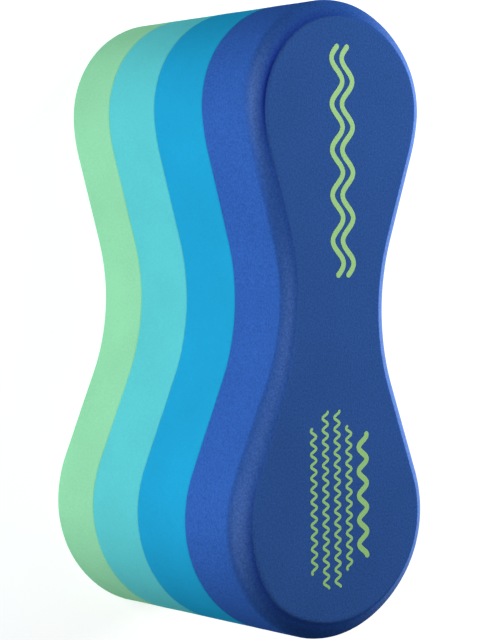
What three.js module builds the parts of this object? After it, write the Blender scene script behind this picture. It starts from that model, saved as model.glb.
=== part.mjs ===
// A pull buoy: a swimmer's leg float cut from a block of closed-cell EVA foam.
//
// Four foam sheets of different colours lie on each other, glued face to face by
// thin films of contact adhesive. The block has an hourglass outline: two round
// lobes with a waist between them, where the thighs grip. The rims of both outer
// faces are rounded over.
//
// Millimetres. The buoy lies on its green face: +Z runs through the sheets from the
// green face to the royal blue one, +X runs along the outline to the smaller lobe,
// and the origin is the middle of the bottom of the object's box.

import * as THREE from 'three';

// Whole object
const LENGTH = 240; // nose to nose, along X
const DEPTH = 120; // through all the sheets, along Z

// Stack
const FILM_THICKNESS = 0.25; // one film of cured contact adhesive
const FILM_INSET = 1; // the glue stops this far short of the outline
const SEAM_ROUNDING = 0.5; // softened edge of a sheet where it meets its neighbour
const RIM_INSET = 6.5; // rounded rim of an outer face, measured across the face
const RIM_DEPTH = 5.5; // the same rim, measured down the side wall

// Outline. Each lobe is a chain of three tangent arcs: a nose on the long axis, a
// shoulder, and a cheek that turns in to the flank. Angles are those of the outward
// normal from the long axis, where the nose hands over to the shoulder and the
// shoulder to the cheek.
const SMALL_LOBE = { nose: 44, shoulder: 38, cheek: 68, noseEnd: 49, shoulderEnd: 96 };
const LARGE_LOBE = { nose: 48.5, shoulder: 43.5, cheek: 48, noseEnd: 56, shoulderEnd: 96 };
const WAIST_HALF_WIDTH = 25.5;
const WAIST_RADIUS = 80; // hollow arc on each side of the waist
const WAIST_OFFSET = 5.6; // the narrowest place, from the middle towards the small lobe

// Facets
const DEGREES_PER_FACET = 7;
const RIM_STEPS = 6;

// Sheets from the bottom of the stack to the top
const SHEETS = [
  { name: 'foam_sheet_green', color: 0x92d9ad },
  { name: 'foam_sheet_aqua', color: 0x5bcad1 },
  { name: 'foam_sheet_sky_blue', color: 0x20a6d7 },
  { name: 'foam_sheet_royal_blue', color: 0x2f58ab },
];
const FILMS = ['adhesive_film_green_aqua', 'adhesive_film_aqua_sky', 'adhesive_film_sky_royal'];
const FOAM_ROUGHNESS = 0.75;
const FILM_COLOR = 0xd9cfa8;
const FILM_ROUGHNESS = 0.5;

const direction = (angle) => new THREE.Vector2(Math.cos(angle), Math.sin(angle));

// Centres of a lobe's three arcs, for a lobe that points along +X. Each centre lies on
// the radius where its arc takes over from the one before, so the arcs are tangent.
function lobeArcs(lobe) {
  const noseEnd = THREE.MathUtils.degToRad(lobe.noseEnd);
  const shoulderEnd = THREE.MathUtils.degToRad(lobe.shoulderEnd);
  const nose = new THREE.Vector2(LENGTH / 2 - lobe.nose, 0);
  const shoulder = nose.clone().addScaledVector(direction(noseEnd), lobe.nose - lobe.shoulder);
  const cheek = shoulder.clone().addScaledVector(direction(shoulderEnd), lobe.shoulder - lobe.cheek);
  return { nose, shoulder, cheek, noseEnd, shoulderEnd };
}

// Normal angle of the straight flank that touches both the cheek and the waist arc,
// which lie on opposite sides of it.
function flankAngle(cheek, cheekRadius, waist) {
  const between = waist.clone().sub(cheek);
  return between.angle() - Math.acos((cheekRadius + WAIST_RADIUS) / between.length());
}

// Points and outward normals on an arc from one normal angle to another. A hollow arc
// has its centre outside the object, so its points lie against their normals.
function arcPoints(center, radius, from, to, hollow = false) {
  const steps = Math.max(1, Math.round(THREE.MathUtils.radToDeg(Math.abs(to - from)) / DEGREES_PER_FACET));
  return Array.from({ length: steps + 1 }, (_, step) => {
    const normal = direction(from + ((to - from) * step) / steps);
    const point = center.clone().addScaledVector(normal, hollow ? -radius : radius);
    return { point, normal };
  });
}

// One lobe's half of the outline above the long axis, from its nose to the waist arc.
function halfLobe(lobe, waist) {
  const { nose, shoulder, cheek, noseEnd, shoulderEnd } = lobeArcs(lobe);
  const flank = flankAngle(cheek, lobe.cheek, waist);
  return {
    flank,
    points: [
      ...arcPoints(nose, lobe.nose, 0, noseEnd),
      ...arcPoints(shoulder, lobe.shoulder, noseEnd, shoulderEnd).slice(1),
      ...arcPoints(cheek, lobe.cheek, shoulderEnd, flank).slice(1),
    ],
  };
}

const mirrorX = ({ point, normal }) => ({
  point: new THREE.Vector2(-point.x, point.y),
  normal: new THREE.Vector2(-normal.x, normal.y),
});

const mirrorY = ({ point, normal }) => ({
  point: new THREE.Vector2(point.x, -point.y),
  normal: new THREE.Vector2(normal.x, -normal.y),
});

// The whole outline, counter-clockwise from the small lobe's nose.
function buildOutline() {
  const waist = new THREE.Vector2(WAIST_OFFSET, WAIST_HALF_WIDTH + WAIST_RADIUS);
  const mirroredWaist = new THREE.Vector2(-WAIST_OFFSET, waist.y);
  const small = halfLobe(SMALL_LOBE, waist);
  const large = halfLobe(LARGE_LOBE, mirroredWaist);
  const upper = [
    ...small.points,
    ...arcPoints(waist, WAIST_RADIUS, small.flank, Math.PI - large.flank, true),
    ...large.points.map(mirrorX).reverse(),
  ];
  const lower = upper.slice(1, -1).map(mirrorY).reverse();
  return [...upper, ...lower];
}

const OUTLINE = buildOutline();

// A closed solid from a stack of rings. Each ring is the outline drawn in by its inset
// at its height, and the first and last rings are filled as flat faces.
function solidFromRings(rings) {
  const count = OUTLINE.length;
  const positions = rings.flatMap(({ z, inset }) =>
    OUTLINE.flatMap(({ point, normal }) => [point.x - normal.x * inset, point.y - normal.y * inset, z]),
  );
  const indices = [];
  for (let ring = 0; ring < rings.length - 1; ring++) {
    for (let i = 0; i < count; i++) {
      const a = ring * count + i;
      const b = ring * count + ((i + 1) % count);
      indices.push(a, b, b + count, a, b + count, a + count);
    }
  }
  const face = THREE.ShapeUtils.triangulateShape(
    OUTLINE.map(({ point }) => point),
    [],
  );
  const top = (rings.length - 1) * count;
  for (const [a, b, c] of face) {
    indices.push(a, c, b, top + a, top + b, top + c);
  }
  const geometry = new THREE.BufferGeometry();
  geometry.setAttribute('position', new THREE.Float32BufferAttribute(positions, 3));
  geometry.setIndex(indices);
  geometry.computeVertexNormals();
  return geometry;
}

// Rings of one rounded edge, from the side wall to the face. The edge is a quarter of
// an ellipse, inset across the face and depth down the wall.
function roundedEdge(faceZ, wallSide, inset, depth, steps) {
  return Array.from({ length: steps + 1 }, (_, step) => {
    const angle = ((Math.PI / 2) * step) / steps;
    return {
      z: faceZ + wallSide * depth * (1 - Math.sin(angle)),
      inset: inset * (1 - Math.cos(angle)),
    };
  });
}

// A sheet has a generous rim where its face is outside, and a soft edge at a seam.
function sheetGeometry(bottomZ, topZ, outerBottom, outerTop) {
  const edge = (faceZ, wallSide, outer) =>
    outer
      ? roundedEdge(faceZ, wallSide, RIM_INSET, RIM_DEPTH, RIM_STEPS)
      : roundedEdge(faceZ, wallSide, SEAM_ROUNDING, SEAM_ROUNDING, 1);
  return solidFromRings([...edge(bottomZ, 1, outerBottom).reverse(), ...edge(topZ, -1, outerTop)]);
}

function filmGeometry(bottomZ) {
  return solidFromRings([
    { z: bottomZ, inset: FILM_INSET },
    { z: bottomZ + FILM_THICKNESS, inset: FILM_INSET },
  ]);
}

function namedMesh(name, geometry, color, roughness) {
  const material = new THREE.MeshStandardMaterial({ color, roughness, metalness: 0 });
  const mesh = new THREE.Mesh(geometry, material);
  mesh.name = name;
  return mesh;
}

function buildBuoy() {
  const group = new THREE.Group();
  const sheetThickness = (DEPTH - FILMS.length * FILM_THICKNESS) / SHEETS.length;
  SHEETS.forEach(({ name, color }, index) => {
    const bottomZ = index * (sheetThickness + FILM_THICKNESS);
    const topZ = bottomZ + sheetThickness;
    const isLast = index === SHEETS.length - 1;
    const sheet = sheetGeometry(bottomZ, topZ, index === 0, isLast);
    group.add(namedMesh(name, sheet, color, FOAM_ROUGHNESS));
    if (!isLast) {
      group.add(namedMesh(FILMS[index], filmGeometry(topZ), FILM_COLOR, FILM_ROUGHNESS));
    }
  });
  return group;
}

const group = buildBuoy();

export default group;
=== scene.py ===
"""Looks for a laminated foam pull buoy: four foam sheets with a printed outer face.

Metres, in the frame of the CAD model: +Z runs through the sheets, +X along the length.
"""

import math

import bmesh
import bpy
import numpy as np
from mathutils import Matrix, Vector, noise


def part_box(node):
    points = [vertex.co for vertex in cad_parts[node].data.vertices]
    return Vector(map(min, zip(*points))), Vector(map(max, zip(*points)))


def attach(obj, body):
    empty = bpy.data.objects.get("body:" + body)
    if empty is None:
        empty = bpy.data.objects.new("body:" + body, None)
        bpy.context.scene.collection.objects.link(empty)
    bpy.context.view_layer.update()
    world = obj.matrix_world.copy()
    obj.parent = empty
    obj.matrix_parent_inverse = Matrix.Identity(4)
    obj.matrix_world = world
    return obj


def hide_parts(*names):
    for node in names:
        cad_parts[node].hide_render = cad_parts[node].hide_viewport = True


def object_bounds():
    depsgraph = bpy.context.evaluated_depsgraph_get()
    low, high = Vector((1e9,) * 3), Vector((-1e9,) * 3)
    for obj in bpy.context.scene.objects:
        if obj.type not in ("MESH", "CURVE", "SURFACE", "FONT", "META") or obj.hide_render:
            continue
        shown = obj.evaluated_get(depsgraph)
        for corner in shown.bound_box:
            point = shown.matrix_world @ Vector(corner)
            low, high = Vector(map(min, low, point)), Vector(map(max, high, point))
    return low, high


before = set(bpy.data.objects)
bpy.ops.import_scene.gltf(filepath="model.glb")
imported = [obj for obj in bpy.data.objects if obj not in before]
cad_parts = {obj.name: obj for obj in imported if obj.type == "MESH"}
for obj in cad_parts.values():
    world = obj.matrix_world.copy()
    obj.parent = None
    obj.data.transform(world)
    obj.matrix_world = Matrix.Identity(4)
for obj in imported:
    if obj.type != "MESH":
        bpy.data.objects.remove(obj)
cad_low, cad_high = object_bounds()

MM = 0.001

# Outline: each lobe is a nose, a shoulder and a cheek, three tangent arcs, and angles are
# those of the outward normal from the long axis where one arc hands over to the next.
LENGTH = cad_high[0] - cad_low[0]
SMALL_LOBE = {"radii": (44 * MM, 38 * MM, 68 * MM), "ends": (49, 96)}
LARGE_LOBE = {"radii": (48.5 * MM, 43.5 * MM, 48 * MM), "ends": (56, 96)}
WAIST_HALF_WIDTH = 25.5 * MM
WAIST_RADIUS = 80 * MM
WAIST_OFFSET = 5.6 * MM
OUTLINE_STEP = 0.8 * MM

# Sheets
SHEETS = ("foam_sheet_green", "foam_sheet_aqua", "foam_sheet_sky_blue", "foam_sheet_royal_blue")
SEAM_ROUNDING = 0.35 * MM
GLUE_LINE_INSET = 1.1 * MM  # the sheets' edges meet over this width, and the glue lies inside it
WALL_STEP = 1.2 * MM
WELD_DISTANCE = 0.02 * MM
SHORTEST_EDGE = 0.005 * MM

# Cut foam is never quite even: the height of each noise, and the size of its features
WALL_WAVES = ((0.07 * MM, 14 * MM), (0.02 * MM, 3 * MM))
FACE_WAVES = ((0.06 * MM, 26 * MM), (0.02 * MM, 7 * MM))
FACE_SEED = 3
SEED_SHIFT = (13.7, 7.1, 3.3)  # how far apart the noises of two seeds are taken
SEEDS_PER_SHEET = 5


def direction(angle):
    return np.array([math.cos(angle), math.sin(angle)])


def arc(center, radius, start, end, hollow=False):
    """Points and outward normals from one normal angle to another, without the last."""
    steps = max(2, math.ceil(abs(end - start) * radius / OUTLINE_STEP))
    angles = start + (end - start) * np.arange(steps) / steps
    normals = np.stack([np.cos(angles), np.sin(angles)], axis=1)
    return center + normals * (-radius if hollow else radius), normals


def straight(start, end, normal):
    steps = max(2, math.ceil(np.linalg.norm(end - start) / OUTLINE_STEP))
    share = np.arange(steps)[:, None] / steps
    return start + (end - start) * share, np.repeat(normal[None], steps, axis=0)


def half_lobe(lobe, waist):
    """From the nose to the waist arc, for a lobe that points along +X."""
    nose_radius, shoulder_radius, cheek_radius = lobe["radii"]
    nose_end, shoulder_end = (math.radians(angle) for angle in lobe["ends"])
    nose = np.array([LENGTH / 2 - nose_radius, 0.0])
    shoulder = nose + (nose_radius - shoulder_radius) * direction(nose_end)
    cheek = shoulder + (shoulder_radius - cheek_radius) * direction(shoulder_end)
    between = waist - cheek
    reach = (cheek_radius + WAIST_RADIUS) / np.linalg.norm(between)
    flank = math.atan2(between[1], between[0]) - math.acos(reach)
    normal = direction(flank)
    stretches = [
        arc(nose, nose_radius, 0, nose_end),
        arc(shoulder, shoulder_radius, nose_end, shoulder_end),
        arc(cheek, cheek_radius, shoulder_end, flank),
        straight(cheek + cheek_radius * normal, waist - WAIST_RADIUS * normal, normal),
    ]
    points, normals = (np.concatenate(part) for part in zip(*stretches))
    return points, normals, flank


def outline():
    """The whole outline's points and outward normals, counter-clockwise from the small nose."""
    flip = np.array([-1.0, 1.0])
    waist = np.array([WAIST_OFFSET, WAIST_HALF_WIDTH + WAIST_RADIUS])
    small_points, small_normals, small_flank = half_lobe(SMALL_LOBE, waist)
    large_points, large_normals, large_flank = half_lobe(LARGE_LOBE, waist * flip)
    waist_points, waist_normals = arc(
        waist, WAIST_RADIUS, small_flank, math.pi - large_flank, hollow=True
    )
    end = waist - WAIST_RADIUS * direction(math.pi - large_flank)
    points = np.concatenate([small_points, waist_points, end[None], (large_points * flip)[:0:-1]])
    normals = np.concatenate(
        [small_normals, waist_normals, direction(math.pi - large_flank)[None],
         (large_normals * flip)[:0:-1]]
    )
    nose = np.array([[-LENGTH / 2, 0.0]])
    upper = np.concatenate([points, nose])
    upper_normals = np.concatenate([normals, [[-1.0, 0.0]]])
    mirror = np.array([1.0, -1.0])
    return (
        np.concatenate([upper, (upper * mirror)[-2:0:-1]]),
        np.concatenate([upper_normals, (upper_normals * mirror)[-2:0:-1]]),
    )


POINTS, NORMALS = outline()
MEDIAL_LOW = -LENGTH / 2 + LARGE_LOBE["radii"][0]
MEDIAL_HIGH = LENGTH / 2 - SMALL_LOBE["radii"][0]


def inset_ring(inset):
    """The outline drawn in; inset is one distance, or one for each point."""
    return POINTS - NORMALS * np.broadcast_to(inset, len(POINTS))[:, None]


def face_ring(inset, share):
    """Between the outline drawn in by inset (share 0) and the long axis (share 1)."""
    ring = inset_ring(inset)
    foot = np.stack([np.clip(ring[:, 0], MEDIAL_LOW, MEDIAL_HIGH), np.zeros(len(ring))], axis=1)
    return ring + (foot - ring) * share


def noise_at(points, size, seed):
    """Perlin noise from -1 to 1 at an array of points, with features of that size."""
    shift = Vector([seed * step for step in SEED_SHIFT])
    return np.array([noise.noise(Vector(p) / size + shift) for p in points])


def waves_at(points, waves, seed):
    return sum(
        height * noise_at(points, size, seed + index)
        for index, (height, size) in enumerate(waves)
    )


def face_waves(xy):
    """How far an outer flat face stands off its plane."""
    return waves_at(np.column_stack([xy, np.zeros(len(xy))]), FACE_WAVES, FACE_SEED)


class Stack:
    """Rings of one closed mesh, from the middle of its bottom face to that of its top."""

    def __init__(self):
        self.rings = []

    def add(self, xy, z, outward, face=0.0, skin=0.0, painted_crease_shade=0.0, wear_and_highlight=0.0):
        """outward is 1 on a side wall, face is 1 on an outer flat face, and both share a rim.
        skin is 1 on the face alone, the next value is how much painted shade darkens the crease, and
        the last is how much the rim is lightened, partly by rubbing and partly by a painted
        highlight."""
        count = len(xy)
        values = {"outward": outward, "face": face, "skin": skin, "painted_crease_shade": painted_crease_shade, "wear_and_highlight": wear_and_highlight}
        ring = {key: np.broadcast_to(value, count) for key, value in values.items()}
        ring["points"] = np.column_stack([xy, np.broadcast_to(z, count)])
        self.rings.append(ring)

    def column(self, key):
        return np.concatenate([ring[key] for ring in self.rings])

    def build(self, name, seed):
        count = len(POINTS)
        coords = self.column("points")
        normals = np.tile(NORMALS, (len(self.rings), 1))
        dents = waves_at(coords, WALL_WAVES, seed)
        coords[:, :2] += normals * (dents * self.column("outward"))[:, None]
        coords[:, 2] += face_waves(coords[:, :2]) * self.column("face")
        rows = np.repeat(np.arange(len(self.rings) - 1), count) * count
        here = np.tile(np.arange(count), len(self.rings) - 1)
        there = (here + 1) % count
        faces = np.stack(
            [rows + here, rows + there, rows + count + there, rows + count + here], axis=1
        )
        mesh = bpy.data.meshes.new(name)
        mesh.from_pydata(coords.tolist(), [], faces.tolist())
        for key in ("skin", "painted_crease_shade", "wear_and_highlight"):
            attribute = mesh.attributes.new(key, "FLOAT", "POINT")
            attribute.data.foreach_set("value", self.column(key).astype(np.float32))
        weld(mesh)
        mesh.shade_smooth()
        piece = bpy.data.objects.new(name, mesh)
        bpy.context.scene.collection.objects.link(piece)
        return piece


def weld(mesh):
    """Joins the points that meet along the middle of each flat face."""
    work = bmesh.new()
    work.from_mesh(mesh)
    bmesh.ops.remove_doubles(work, verts=work.verts, dist=WELD_DISTANCE)
    bmesh.ops.dissolve_degenerate(work, edges=work.edges, dist=SHORTEST_EDGE)
    bmesh.ops.recalc_face_normals(work, faces=work.faces)
    work.to_mesh(mesh)
    work.free()


# The rim is rounded by hand, so its inner edge wanders, and the flat face meets it at a
# crisp edge. A spot is a place on the plan, how far it reaches, and how much it adds there.
RIM_INSET = 6.5 * MM
RIM_DEPTH = 5.5 * MM
RIM_END_COS = 0.3  # of the angle on the ellipse where the rounding stops and the face begins
RIM_BEVEL = 0.55  # how far the rounding is filled out to a plain bevel: 0 is round, 1 is flat
FAR_RIM_NARROWER = 0.9 * MM  # the rim on the -Y side is narrower, and fully rounded
RIM_WANDERS = (
    ((62 * MM, 40 * MM), 16 * MM, -1.0 * MM),
    ((-4 * MM, 25 * MM), 16 * MM, -0.9 * MM),
    ((-45 * MM, 38 * MM), 22 * MM, 0.7 * MM),
    ((-78 * MM, 46 * MM), 24 * MM, 1.6 * MM),
    ((95 * MM, 38 * MM), 18 * MM, 0.6 * MM),
    ((-108 * MM, 28 * MM), 16 * MM, -1.2 * MM),
)
RIM_SHALLOWER = (((8 * MM, 26 * MM), 44 * MM, -1.8 * MM),)
RIM_ROUNDER = (
    ((84 * MM, 40 * MM), 36 * MM, -0.5),
    ((-100 * MM, 38 * MM), 26 * MM, -0.2),
)

# The crease where the router pressed the foam, at the inner edge of the rim
CREASES = (
    ((88 * MM, 38 * MM), 28 * MM, 0.9 * MM),
    ((38 * MM, 30 * MM), 26 * MM, 0.12 * MM),
    ((114 * MM, 14 * MM), 18 * MM, 0.4 * MM),
    ((-92 * MM, 44 * MM), 34 * MM, 0.45 * MM),
    ((-118 * MM, 10 * MM), 30 * MM, 0.25 * MM),
)
CREASE_DEEPEST = 0.9 * MM
CREASE_OUTSIDE = 0.1 * MM  # how far outside the rim's inner edge the crease is deepest
CREASE_WIDTHS = (2.0 * MM, 0.5 * MM)  # towards the wall, and towards the middle
PAINTED_CREASE_SHADE_WIDTHS = (2.4 * MM, 0.3 * MM)  # the strip of painted shade along it, measured the same way

# A shallow ripple further out on the rim
RIM_RIPPLES = (
    ((-96 * MM, 40 * MM), 24 * MM, 0.16 * MM),
    ((100 * MM, 30 * MM), 20 * MM, 0.10 * MM),
)
RIM_RIPPLE_INSET = 1.6 * MM
RIM_RIPPLE_WIDTH = 0.8 * MM

# Rubbing and painted highlight: a band along the +Y rim, partly rubbed and partly a painted
# highlight, whose place and widths are shares of the way in from the wall. The -Y rim gets a painted
# highlight from the wall up to one such share.
RUBBED_AND_HIGHLIT = 0.75
RUBBED_AND_HIGHLIT_SPOTS = (
    ((84 * MM, 40 * MM), 20 * MM, 0.3),
    ((42 * MM, 33 * MM), 28 * MM, -0.5),
    ((-80 * MM, 44 * MM), 34 * MM, 0.15),
)
RUBBED_AND_HIGHLIT_FULLY_FROM = 0.2
RUBBED_AND_HIGHLIT_MIDDLE = 0.22
RUBBED_AND_HIGHLIT_MIDDLE_PER_BEVEL = 0.5
RUBBED_AND_HIGHLIT_WIDTHS = (0.46, 0.34)
RUBBED_AND_HIGHLIT_SIDEWAYS_POWER = 6
# strength of the painted highlight on the -Y rim, and the share of the way in where it stops
FAR_PAINTED_HIGHLIGHT = 2.6
FAR_PAINTED_HIGHLIGHT_TO = 0.85

# Rings of the mesh. Those of the rounding crowd towards the wall, and those of the crease
# are given by how far inside the rim's inner edge they lie.
ROUNDING_RINGS = 20
ROUNDING_CROWDING = 1.5
ROUNDING_SHARE = 0.8
CREASE_RINGS = [
    offset * MM
    for offset in (
        -1.2, -0.95, -0.7, -0.5, -0.35, -0.25, -0.15,
        -0.05, 0.05, 0.15, 0.25, 0.35, 0.5, 0.7,
    )
]
FACE_START = CREASE_RINGS[-1] + 0.1 * MM
FACE_RINGS = 26
FACE_CROWDING = 1.1
SEAM_RINGS = 4
GLUE_STEP = 0.1 * MM
JOINT_SHARES = (0.4, 0.8, 1.0)  # of the way from the edge of the glue to the long axis


def even(value):
    """The same value at each point of the outline."""
    return np.full(len(POINTS), value)


def along_rim(spots, base=0.0):
    """For each point of the outline, the base and what each spot adds there."""
    total = even(base)
    for place, reach, amount in spots:
        away = np.linalg.norm(POINTS - np.array(place), axis=1)
        total += amount * np.exp(-((away / reach) ** 2))
    return total


def rim_depth(share, depth, bevel):
    """How far below the flat face the rounded rim is, at a share of the way in from the wall."""
    end_sin = math.sqrt(1 - RIM_END_COS**2)
    cos = 1 - share * (1 - RIM_END_COS)
    rounded = 1 - np.sqrt(1 - cos**2) / end_sin
    return depth * (rounded + (1 - share - rounded) * bevel)


def bell(offset, widths):
    """1 at no offset, falling off at its own rate towards the wall and towards the middle."""
    outer_width, inner_width = widths
    return np.exp(-((offset / np.where(offset < 0, outer_width, inner_width)) ** 2))


def wear_and_highlight_at(share, bevel, rubbed_and_highlit):
    """How much the rim is lightened at a share of the way in from the wall: by rubbing and a painted
    highlight on the +Y side, and by a painted highlight alone on the -Y side.
    """
    sideways = NORMALS[:, 1]
    # painted highlight on the -Y rim, lighter from the wall in
    far = FAR_PAINTED_HIGHLIGHT * sideways**2 * (share < FAR_PAINTED_HIGHLIGHT_TO)
    offset = share - RUBBED_AND_HIGHLIT_MIDDLE - RUBBED_AND_HIGHLIT_MIDDLE_PER_BEVEL * bevel
    # +Y band, on the lit side: partly rubbing, partly painted highlight
    near = rubbed_and_highlit * sideways**RUBBED_AND_HIGHLIT_SIDEWAYS_POWER * np.clip(share / RUBBED_AND_HIGHLIT_FULLY_FROM, 0, 1)
    return np.where(sideways < 0, far, near * bell(offset, RUBBED_AND_HIGHLIT_WIDTHS))


def plain_rim():
    """The rim of the bottom face. The photo doesn't show it, so it has one shape all round."""
    return {
        "inset": even(RIM_INSET),
        "depth": even(RIM_DEPTH),
        "bevel": even(RIM_BEVEL),
        "crease": even(0.0),
        "ripple": even(0.0),
        "rubbed_and_highlit": even(0.0),
    }


def shaped_rim():
    """The rim of the printed face."""
    far = np.clip(-NORMALS[:, 1], 0, 1) ** 2
    return {
        "inset": along_rim(RIM_WANDERS, RIM_INSET) - FAR_RIM_NARROWER * far,
        "depth": along_rim(RIM_SHALLOWER, RIM_DEPTH),
        "bevel": along_rim(RIM_ROUNDER, RIM_BEVEL) * (1 - far),
        "crease": along_rim(CREASES),
        "ripple": along_rim(RIM_RIPPLES),
        "rubbed_and_highlit": along_rim(RUBBED_AND_HIGHLIT_SPOTS, RUBBED_AND_HIGHLIT),
    }


def rim_rings(rim, face_z, way):
    """From the side wall up the rounded rim and over the flat face to its middle. way is 1
    at the top of the buoy and -1 at its bottom."""
    rim_inset, bevel, crease = rim["inset"], rim["bevel"], rim["crease"]
    turns = (np.arange(ROUNDING_RINGS) / ROUNDING_RINGS) ** ROUNDING_CROWDING
    insets = [rim_inset * turn * ROUNDING_SHARE for turn in turns]
    insets += [rim_inset + offset for offset in CREASE_RINGS]
    rings = []
    for inset in insets:
        share = np.clip(inset / rim_inset, 0, 1)
        to_crease = inset - rim_inset + CREASE_OUTSIDE
        to_ripple = inset - RIM_RIPPLE_INSET
        dips = crease * bell(to_crease, CREASE_WIDTHS)
        dips = dips + rim["ripple"] * bell(to_ripple, (RIM_RIPPLE_WIDTH, RIM_RIPPLE_WIDTH))
        rings.append(
            dict(
                xy=inset_ring(inset),
                z=face_z - way * (rim_depth(share, rim["depth"], bevel) + dips),
                outward=1 - share,
                face=share,
                skin=np.where(inset > rim_inset, 1.0, 0.0),
                # painted shade: a darker strip along the crease
                painted_crease_shade=bell(to_crease, PAINTED_CREASE_SHADE_WIDTHS) * crease / CREASE_DEEPEST,
                # the rim lightened by rubbing and a painted highlight
                wear_and_highlight=wear_and_highlight_at(share, bevel, rim["rubbed_and_highlit"]),
            )
        )
    for ring in range(FACE_RINGS + 1):
        xy = face_ring(rim_inset + FACE_START, (ring / FACE_RINGS) ** FACE_CROWDING)
        rings.append(dict(xy=xy, z=face_z, outward=0, face=1.0, skin=1.0))
    return rings


def seam_rings(wall_z, glue_z, way):
    """A sheet's edge at a glued seam, from the side wall to the middle of the joint."""
    rings = []
    for step in range(SEAM_RINGS):
        angle = math.pi / 2 * step / (SEAM_RINGS - 1)
        rings.append(
            dict(
                xy=inset_ring(SEAM_ROUNDING * (1 - math.cos(angle))),
                z=wall_z - way * SEAM_ROUNDING * (1 - math.sin(angle)),
                outward=math.cos(angle),
            )
        )
    rings.append(dict(xy=inset_ring(GLUE_LINE_INSET - GLUE_STEP), z=wall_z, outward=0))
    rings.append(dict(xy=inset_ring(GLUE_LINE_INSET), z=glue_z, outward=0))
    for share in JOINT_SHARES:
        rings.append(dict(xy=face_ring(GLUE_LINE_INSET, share), z=glue_z, outward=0))
    return rings


def foam_sheet(index):
    """One sheet. At a seam its edge reaches the middle of the glue line, where it meets the
    next sheet's edge."""
    node = SHEETS[index]
    low, high = (corner[2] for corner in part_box(node))
    if index == 0:
        bottom = rim_rings(plain_rim(), low, -1)
    else:
        bottom = seam_rings((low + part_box(SHEETS[index - 1])[1][2]) / 2, low, -1)
    if index == len(SHEETS) - 1:
        top = rim_rings(shaped_rim(), high, 1)
    else:
        top = seam_rings((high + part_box(SHEETS[index + 1])[0][2]) / 2, high, 1)
    start = np.max(bottom[0]["z"])
    end = np.min(top[0]["z"])
    steps = round((end - start) / WALL_STEP)
    stack = Stack()
    for ring in reversed(bottom):
        stack.add(**ring)
    for step in range(1, steps):
        stack.add(inset_ring(0), start + (end - start) * step / steps, 1)
    for ring in top:
        stack.add(**ring)
    piece = stack.build(node.replace("foam_sheet", "foam"), SEEDS_PER_SHEET * index + 1)
    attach(piece, "root")
    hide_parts(node)
    return piece


# Materials

RANGE_SOCKETS = ("From Min", "From Max", "To Min", "To Max")
NOISE_SPAN = (0.3, 0.7)  # nearly all of a noise lies between these
MIX_INPUTS = (6, 7)  # the Mix node's sockets for colours
MIX_RESULT = 2

FOAM_CLOUD_SIZE = 30 * MM
FOAM_CLOUDS = (0.96, 1.04)  # how much they darken and lighten the colour
FOAM_GRAIN_SIZE = 0.8 * MM
FOAM_CELL_SIZE = 0.7 * MM
FOAM_ROUGH_SIZE = 0.9 * MM
FOAM_ROUGHNESS = (0.55, 0.7)
FOAM_WORN_AND_HIGHLIGHT = (0.2, 0.5)  # how much of the lighter colour of rubbing and painted highlight shows, by its grain


class Nodes:
    """A short way to write a shader's nodes."""

    def __init__(self, name):
        self.material = bpy.data.materials.new(name)
        self.material.use_nodes = True
        self.tree = self.material.node_tree
        self.shader = self.tree.nodes["Principled BSDF"]
        self.place = self.add("ShaderNodeTexCoord").outputs["Object"]

    def add(self, kind, **values):
        node = self.tree.nodes.new(kind)
        for key, value in values.items():
            setattr(node, key, value)
        return node

    def link(self, output, socket):
        self.tree.links.new(output, socket)

    def noise(self, size, detail=2.0, roughness=0.5):
        """Noise with features of about that size, in metres."""
        node = self.add("ShaderNodeTexNoise")
        node.inputs["Scale"].default_value = 1 / size
        node.inputs["Detail"].default_value = detail
        node.inputs["Roughness"].default_value = roughness
        self.link(self.place, node.inputs["Vector"])
        return node.outputs["Fac"]

    def cells(self, size, feature="F1"):
        node = self.add("ShaderNodeTexVoronoi", feature=feature)
        node.inputs["Scale"].default_value = 1 / size
        self.link(self.place, node.inputs["Vector"])
        return node.outputs["Distance"]

    def attribute(self, name):
        return self.add("ShaderNodeAttribute", attribute_name=name).outputs["Fac"]

    def remap(self, value, low, high, to_low, to_high):
        node = self.add("ShaderNodeMapRange")
        for socket, number in zip(RANGE_SOCKETS, (low, high, to_low, to_high)):
            node.inputs[socket].default_value = number
        self.link(value, node.inputs["Value"])
        return node.outputs["Result"]

    def spread(self, fine, low, high):
        """A noise stretched to run from low to high."""
        return self.remap(fine, *NOISE_SPAN, low, high)

    def mix(self, factor, first, second, blend="MIX"):
        """Mixes two colours, each a socket or an RGB tuple."""
        node = self.add("ShaderNodeMix", data_type="RGBA", blend_type=blend)
        for index, value in zip(MIX_INPUTS, (first, second)):
            if isinstance(value, tuple):
                node.inputs[index].default_value = (*value, 1)
            else:
                self.link(value, node.inputs[index])
        if isinstance(factor, float):
            node.inputs[0].default_value = factor
        else:
            self.link(factor, node.inputs[0])
        return node.outputs[MIX_RESULT]

    def scale(self, color, value):
        """A colour made lighter or darker by a value."""
        node = self.add("ShaderNodeCombineColor")
        for socket in node.inputs[:3]:
            self.link(value, socket)
        return self.mix(1.0, color, node.outputs[0], "MULTIPLY")

    def bump(self, height, distance, normal=None):
        node = self.add("ShaderNodeBump")
        node.inputs["Distance"].default_value = distance
        self.link(height, node.inputs["Height"])
        if normal is not None:
            self.link(normal, node.inputs["Normal"])
        return node.outputs["Normal"]


def srgb(code):
    """A linear colour from a hex code."""
    channels = [int(code[i : i + 2], 16) / 255 for i in (0, 2, 4)]
    return tuple(c / 12.92 if c <= 0.04045 else ((c + 0.055) / 1.055) ** 2.4 for c in channels)


def finish_surface(nodes, tint, rough_size, roughness, bump_size, relief):
    """Links the colour, and adds an uneven roughness and a fine relief."""
    nodes.link(tint, nodes.shader.inputs["Base Color"])
    rough = nodes.spread(nodes.noise(rough_size), *roughness)
    nodes.link(rough, nodes.shader.inputs["Roughness"])
    nodes.link(nodes.bump(nodes.noise(bump_size), relief), nodes.shader.inputs["Normal"])
    return nodes.material


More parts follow.
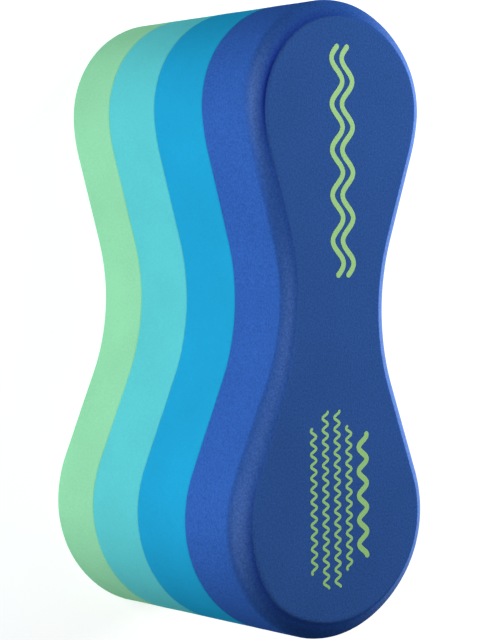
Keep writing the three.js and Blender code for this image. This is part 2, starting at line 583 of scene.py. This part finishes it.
def foam_material(name, colors, grain, relief):
    """Cut closed-cell foam: an even grain of fine cells, faint cloudiness, painted shade in the
    crease, and rim edges lightened by rubbing and a painted highlight.
    """
    nodes = Nodes(name)
    wall_color, skin_color, painted_crease_shade_color, worn_and_highlight_color = (srgb(code) for code in colors)
    tint = nodes.mix(nodes.attribute("skin"), wall_color, skin_color)
    # painted shade darkens the strip along the crease
    tint = nodes.mix(nodes.attribute("painted_crease_shade"), tint, painted_crease_shade_color)
    clouds = nodes.noise(FOAM_CLOUD_SIZE, detail=3)
    tint = nodes.scale(tint, nodes.spread(clouds, *FOAM_CLOUDS))
    fine = nodes.noise(FOAM_GRAIN_SIZE, detail=3, roughness=0.65)
    tint = nodes.scale(tint, nodes.spread(fine, 1 - grain, 1 + grain))
    # the rim lightened by rubbing and a painted highlight
    worn_and_highlight = nodes.add("ShaderNodeMath", operation="MULTIPLY")
    nodes.link(nodes.attribute("wear_and_highlight"), worn_and_highlight.inputs[0])
    nodes.link(nodes.spread(fine, *FOAM_WORN_AND_HIGHLIGHT), worn_and_highlight.inputs[1])
    tint = nodes.mix(worn_and_highlight.outputs[0], tint, worn_and_highlight_color)
    nodes.link(tint, nodes.shader.inputs["Base Color"])
    rough = nodes.spread(nodes.noise(FOAM_ROUGH_SIZE), *FOAM_ROUGHNESS)
    nodes.link(rough, nodes.shader.inputs["Roughness"])
    cells = nodes.bump(nodes.cells(FOAM_CELL_SIZE), relief)
    nodes.link(nodes.bump(fine, relief, cells), nodes.shader.inputs["Normal"])
    nodes.shader.inputs["Specular IOR Level"].default_value = 0.0
    return nodes.material


def adhesive_material():
    nodes = Nodes("cured_adhesive")
    tint = nodes.mix(nodes.noise(4 * MM, detail=3), srgb("c9bd92"), srgb("e2d9b8"))
    return finish_surface(
        nodes, tint, rough_size=1.5 * MM, roughness=(0.35, 0.6), bump_size=1.2 * MM, relief=0.05 * MM
    )


def ink_material():
    """Screen print on foam: an even matte film through which the grain shows."""
    nodes = Nodes("print_ink")
    grain = nodes.noise(0.6 * MM, roughness=0.6)
    tint = nodes.mix(nodes.remap(grain, 0.35, 0.7, 0, 1), srgb("a2de7e"), srgb("b5ee98"))
    return finish_surface(
        nodes, tint, rough_size=0.8 * MM, roughness=(0.5, 0.7), bump_size=0.5 * MM, relief=0.03 * MM
    )


# Print. The rows run along the length and are placed by how far across it they lie.

PRINT_STEP = 0.4 * MM
PRINT_TILT = 1.8
PRINT_TURN = math.radians(180 + PRINT_TILT)  # from +X, so the rows run towards -X
PRINT_ALONG = direction(PRINT_TURN)
PRINT_ACROSS = direction(PRINT_TURN - math.pi / 2)
CAP_STEPS = 7
INK_HEIGHT = 0.05 * MM
INK_DEPTH = 0.15 * MM
INK_WELD_DISTANCE = 0.001 * MM
BOLD_WIDTH = 2.2 * MM
FINE_WIDTH = 1.1 * MM
SWELL = {"start": -102 * MM, "length": 85 * MM, "height": 2.6 * MM, "period": 17 * MM}
SWELL_ACROSS = (-5.6 * MM, -0.6 * MM)
BOLD_RIPPLE = {
    "start": 43.5 * MM, "length": 46 * MM, "across": -12 * MM, "height": 2 * MM, "period": 9.2 * MM
}
FINE_RIPPLE = {"height": 1.3 * MM, "period": 4.4 * MM}
FINE_RIPPLE_ROWS = (  # across, start and length
    (-5.0 * MM, 40 * MM, 54 * MM),
    (0.8 * MM, 34 * MM, 66 * MM),
    (6.6 * MM, 34 * MM, 66 * MM),
    (12.4 * MM, 40 * MM, 54 * MM),
)


def ribbon(path, width):
    """Left and right edge points of a strip along a path of plan points, with round ends."""
    path = np.array(path)
    along = np.gradient(path, axis=0)
    along /= np.linalg.norm(along, axis=1)[:, None]
    cap = np.linspace(0, math.pi / 2, CAP_STEPS)[1:, None]
    reach, narrow = np.sin(cap) * width / 2, np.cos(cap) * width / 2
    centers = np.concatenate(
        [(path[0] - along[0] * reach)[::-1], path, path[-1] + along[-1] * reach]
    )
    along = np.concatenate(
        [np.repeat(along[:1], len(cap), axis=0), along, np.repeat(along[-1:], len(cap), axis=0)]
    )
    half = np.concatenate([narrow[::-1], np.full((len(path), 1), width / 2), narrow])
    side = np.stack([-along[:, 1], along[:, 0]], axis=1) * half
    return centers + side, centers - side


def wave(start, length, across, height, period):
    """A sine wave that runs towards -X along the print. Waves of one period keep in step."""
    steps = math.ceil(length / PRINT_STEP)
    along = np.linspace(start, start + length, steps)
    across = across + height * np.sin(2 * math.pi * along / period)
    return np.outer(along, PRINT_ALONG) + np.outer(across, PRINT_ACROSS)


def print_piece(name, strips, face_z, material):
    """A thin closed layer of ink that follows the face, for (path, width) strips."""
    work = bmesh.new()
    for path, width in strips:
        edges = ribbon(path, width)
        corners = []
        for height in (INK_HEIGHT, -INK_DEPTH):
            for edge in edges:
                z = face_z + face_waves(edge) + height
                corners.append([work.verts.new((x, y, h)) for (x, y), h in zip(edge, z)])
        left, right, low_left, low_right = corners
        around = (left, right, low_right, low_left)
        for i in range(len(left) - 1):
            for first, second in zip(around, (*around[1:], around[0])):
                work.faces.new((first[i], first[i + 1], second[i + 1], second[i]))
    bmesh.ops.remove_doubles(work, verts=work.verts, dist=INK_WELD_DISTANCE)
    bmesh.ops.recalc_face_normals(work, faces=work.faces)
    mesh = bpy.data.meshes.new(name)
    work.to_mesh(mesh)
    work.free()
    mesh.materials.append(material)
    piece = bpy.data.objects.new(name, mesh)
    bpy.context.scene.collection.objects.link(piece)
    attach(piece, "root")


def swell(material, face_z):
    """Two bold waves of one length, side by side on the small lobe."""
    strips = [(wave(across=across, **SWELL), BOLD_WIDTH) for across in SWELL_ACROSS]
    print_piece("print_swell", strips, face_z, material)


def ripples(material, face_z):
    """Unbroken rows of small ripples on the large lobe, and one bolder row beside them."""
    strips = [(wave(**BOLD_RIPPLE), BOLD_WIDTH)]
    for across, start, length in FINE_RIPPLE_ROWS:
        strips.append((wave(start, length, across, **FINE_RIPPLE), FINE_WIDTH))
    print_piece("print_ripples", strips, face_z, material)


# Studio

FLOOR_HALF = 3.0
FLOOR_BELOW = 0.1 * MM
FLOOR_COLORS = ((0.48, 0.48, 0.48), (0.52, 0.52, 0.52))
FLOOR_GLOW = (0.24, 0.45, 0.78, 0.15)  # two distances from the middle, and the glow at each
SKY_GLOW = (0.02, 0.4, 0.25, 0.09)  # two heights of the view's direction, and the light at each
SIDE_LIGHT = {
    "place": (0.015, 0.32, 0.17), "target": (0, 0, 0.06), "size": (0.10, 0.14), "power": 0.60
}
RIM_LIGHT = {
    "place": (0.25, -0.45, 0.42), "target": (0, 0, 0.12), "size": (0.5, 0.15), "power": 3.6
}
CAMERA_PLACE = Vector((0.0138, 0.5090, 0.6986))
CAMERA_AIM = Vector((-0.0012, 0.0, 0.0615))
CAMERA_ROLL = math.radians(-0.83)
CAMERA_LENS = 115.81
CAMERA_SENSOR = 36


def floor_material():
    nodes = Nodes("studio_floor")
    tint = nodes.mix(nodes.noise(0.4), *FLOOR_COLORS)
    nodes.link(tint, nodes.shader.inputs["Base Color"])
    nodes.shader.inputs["Roughness"].default_value = 0.9
    nodes.shader.inputs["Specular IOR Level"].default_value = 0.0
    nodes.shader.inputs["Emission Color"].default_value = (1, 1, 1, 1)
    away = nodes.add("ShaderNodeVectorMath", operation="LENGTH")
    nodes.link(nodes.place, away.inputs[0])
    glow = nodes.remap(away.outputs["Value"], *FLOOR_GLOW)
    nodes.link(glow, nodes.shader.inputs["Emission Strength"])
    return nodes.material


def studio_floor():
    mesh = bpy.data.meshes.new("studio_floor")
    half = FLOOR_HALF
    corners = [(-half, -half, 0), (half, -half, 0), (half, half, 0), (-half, half, 0)]
    mesh.from_pydata(corners, [], [(0, 1, 2, 3)])
    mesh.materials.append(floor_material())
    floor = bpy.data.objects.new("studio_floor", mesh)
    floor.location.z = cad_low[2] - FLOOR_BELOW
    bpy.context.scene.collection.objects.link(floor)


def studio_world():
    """White light from all round, brighter from the horizon down than overhead."""
    world = bpy.data.worlds.new("studio")
    world.use_nodes = True
    tree = world.node_tree
    background = tree.nodes["Background"]
    background.inputs["Color"].default_value = (1, 1, 1, 1)
    view = tree.nodes.new("ShaderNodeTexCoord")
    split = tree.nodes.new("ShaderNodeSeparateXYZ")
    sweep = tree.nodes.new("ShaderNodeMapRange")
    sweep.interpolation_type = "SMOOTHSTEP"
    for socket, number in zip(RANGE_SOCKETS, SKY_GLOW):
        sweep.inputs[socket].default_value = number
    tree.links.new(view.outputs["Generated"], split.inputs["Vector"])
    tree.links.new(split.outputs["Z"], sweep.inputs["Value"])
    tree.links.new(sweep.outputs["Result"], background.inputs["Strength"])
    bpy.context.scene.world = world


def softbox(name, place, target, size, power):
    light = bpy.data.lights.new(name, "AREA")
    light.shape = "RECTANGLE"
    light.size, light.size_y = size
    light.energy = power
    lamp = bpy.data.objects.new(name, light)
    lamp.location = place
    lamp.visible_camera = False
    lamp.rotation_euler = (Vector(target) - Vector(place)).to_track_quat("-Z", "Y").to_euler()
    bpy.context.scene.collection.objects.link(lamp)


def camera():
    """Looks down at the buoy from its +Y side, with the small lobe at the top of the frame."""
    back = (CAMERA_PLACE - CAMERA_AIM).normalized()
    up = (Vector((1, 0, 0)) - back * back.x).normalized()
    up = Matrix.Rotation(CAMERA_ROLL, 3, -back) @ up
    right = up.cross(back)
    turn = Matrix((right, up, back)).transposed().to_4x4()
    data = bpy.data.cameras.new("camera")
    data.sensor_fit = "VERTICAL"
    data.sensor_height = CAMERA_SENSOR
    data.lens = CAMERA_LENS
    view = bpy.data.objects.new("camera", data)
    view.matrix_world = Matrix.Translation(CAMERA_PLACE) @ turn
    bpy.context.scene.collection.objects.link(view)
    bpy.context.scene.camera = view


# For each sheet: its slot, the colours of its wall, face, painted shade in the crease and rim
# lightened by rubbing and a painted highlight, and how strong its grain is in colour and in depth
FOAMS = {
    "foam_sheet_green": ("foam_green", ("92d9ad", "92d9ad", "86d0a2", "b0e4c2"), 0.05, 0.03 * MM),
    "foam_sheet_aqua": ("foam_aqua", ("5bc8d0",) * 4, 0.05, 0.03 * MM),
    "foam_sheet_sky_blue": ("foam_sky_blue", ("21a0d1",) * 4, 0.05, 0.03 * MM),
    "foam_sheet_royal_blue": (
        "foam_royal_blue", ("315eb0", "3862ac", "20389a", "7ca6fc"), 0.22, 0.05 * MM
    ),
}

camera()
studio_floor()
studio_world()
softbox("side_light", **SIDE_LIGHT)
softbox("rim_light", **RIM_LIGHT)

for index, node in enumerate(SHEETS):
    slot, colors, grain, relief = FOAMS[node]
    piece = foam_sheet(index)
    piece.data.materials.append(foam_material(slot, colors, grain, relief))

adhesive = adhesive_material()
for node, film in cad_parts.items():
    if node.startswith("adhesive_film"):
        film.data.materials.clear()
        film.data.materials.append(adhesive)

ink = ink_material()
top_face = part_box(SHEETS[-1])[1][2]
swell(ink, top_face)
ripples(ink, top_face)

bpy.context.scene.view_settings.view_transform = "Standard"
bpy.context.scene.view_settings.look = "None"
